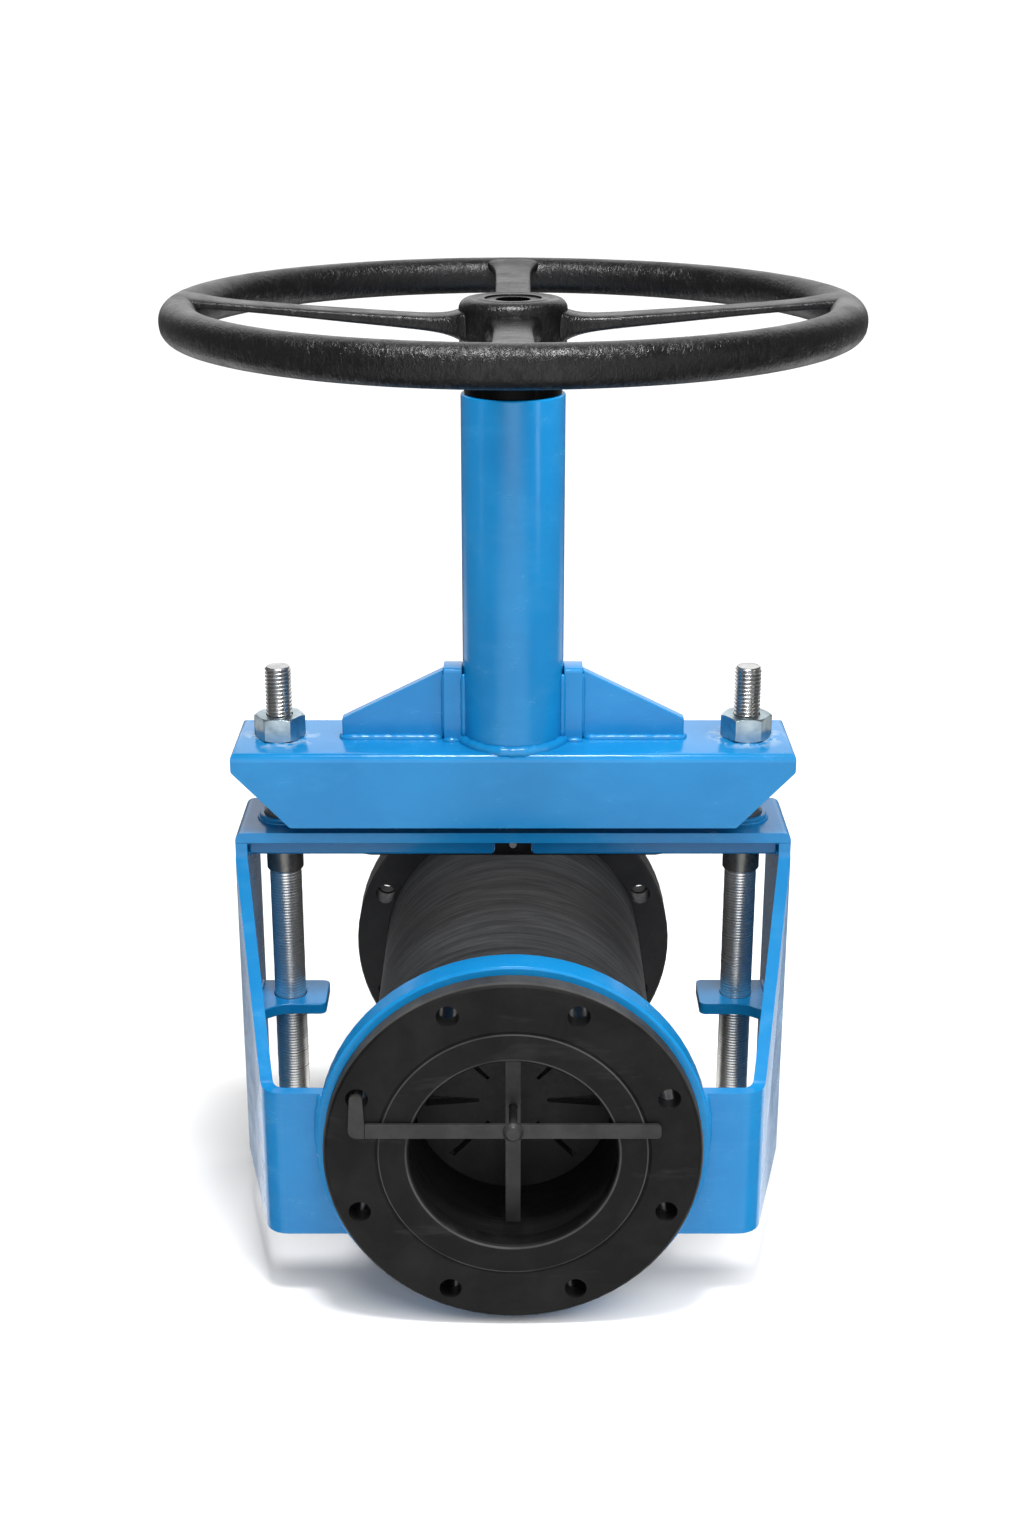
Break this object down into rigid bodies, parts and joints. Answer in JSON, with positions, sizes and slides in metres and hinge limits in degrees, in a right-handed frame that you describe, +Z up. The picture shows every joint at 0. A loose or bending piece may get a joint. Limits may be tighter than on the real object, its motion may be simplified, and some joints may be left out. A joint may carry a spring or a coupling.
{
  "type": "open body pinch valve",
  "caption": "Hand-operated open-body pinch valve: flanged rubber sleeve in a blue welded frame, floating yoke with tie rods, two pinch jaws, non-rising handwheel.",
  "frame": {"origin": "crossing of the pipe axis and the spindle axis, midway between the two flange faces", "axes": "+Y along the pipe from the inlet (strapped) face to the outlet face, +Z up along the spindle, +X to the right seen from the inlet"},
  "size_m": [0.4996, 0.4996, 0.7233],
  "materials": {
    "wrapped_rubber": "matt, wrapped in fabric, fine rings round it",
    "black_rubber": "matt moulded rubber",
    "blue_ring_paint": "glossy blue enamel",
    "black_ring_paint": "satin black",
    "blue_frame_paint": "glossy blue enamel over welds",
    "black_bush": "black sliding plastic",
    "blue_yoke_paint": "glossy blue enamel over welds",
    "turned_steel": "turned, fine rings",
    "zinc_plate": "zinc plated",
    "dark_jaw_paint": "dull black",
    "black_collar": "satin black",
    "bronze": "machined bronze",
    "black_cast_iron": "satin black with a wrinkled cast skin",
    "machined_steel": "machined",
    "nut_bronze": "machined bronze",
    "dark_upper_jaw_paint": "dull black",
    "spindle_steel": "greased thread",
    "dark_strap_steel": "dark oiled strip",
    "black_plug_plastic": "black moulded plastic"
  },
  "bodies": {
    "frame": {"sleeve_tube": "wrapped_rubber", "sleeve_flange_front": "black_rubber", "sleeve_flange_rear": "black_rubber", "flange_ring_front": "blue_ring_paint", "backing_ring_rear": "black_ring_paint", "top_plate": "blue_frame_paint", "side_plate_left": "blue_frame_paint", "side_plate_right": "blue_frame_paint", "rod_lug_left": "blue_frame_paint", "rod_lug_right": "blue_frame_paint", "guide_rail_front_left": "blue_frame_paint", "guide_rail_front_right": "blue_frame_paint", "guide_rail_rear_left": "blue_frame_paint", "guide_rail_rear_right": "blue_frame_paint", "bush_boss_left": "blue_frame_paint", "bush_boss_right": "blue_frame_paint", "rod_bush_left": "black_bush", "rod_bush_right": "black_bush", "transit_strap": "dark_strap_steel", "transit_hook": "dark_strap_steel", "transit_post": "dark_strap_steel", "transit_screw": "dark_strap_steel", "transit_nut": "dark_strap_steel", "transit_plug": "black_plug_plastic"},
    "yoke": {"yoke_beam": "blue_yoke_paint", "column_tube": "blue_yoke_paint", "gusset_pad_left": "blue_yoke_paint", "gusset_pad_right": "blue_yoke_paint", "gusset_web_left": "blue_yoke_paint", "gusset_web_right": "blue_yoke_paint", "tie_rod_left": "turned_steel", "tie_rod_right": "turned_steel", "rod_nut_left": "zinc_plate", "rod_nut_right": "zinc_plate", "jam_nut_left": "zinc_plate", "jam_nut_right": "zinc_plate", "lower_jaw_beam": "dark_jaw_paint", "lower_jaw_nose": "dark_jaw_paint", "bearing_housing": "black_collar", "thrust_ring_upper": "bronze", "thrust_ring_lower": "bronze"},
    "upper_jaw_group": {"upper_jaw": "dark_upper_jaw_paint", "spindle": "spindle_steel", "spindle_pin": "spindle_steel"},
    "drive": {"handwheel": "black_cast_iron", "hub_cap_ring": "black_cast_iron", "drive_sleeve": "machined_steel", "wheel_key": "machined_steel", "stem_nut": "nut_bronze"}
  },
  "joints": [
    {"name": "handwheel_turn", "type": "hinge", "parent": "yoke", "child": "drive", "pos_m": [0, 0, 0.55], "axis": [0, 0, -1], "range_deg": [0, 13680]},
    {"name": "yoke_lift", "type": "slide", "parent": "frame", "child": "yoke", "axis": [0, 0, 1], "range_m": [0, 0.075]},
    {"name": "jaw_lower", "type": "slide", "parent": "frame", "child": "upper_jaw_group", "axis": [0, 0, -1], "range_m": [0, 0.115], "deforming": ["sleeve_tube"]}
  ],
  "couplings": [
    {"joint": "yoke_lift", "follows": "handwheel_turn", "m_per_rad": 0.00031412},
    {"joint": "jaw_lower", "follows": "handwheel_turn", "m_per_rad": 0.00048165}
  ]
}
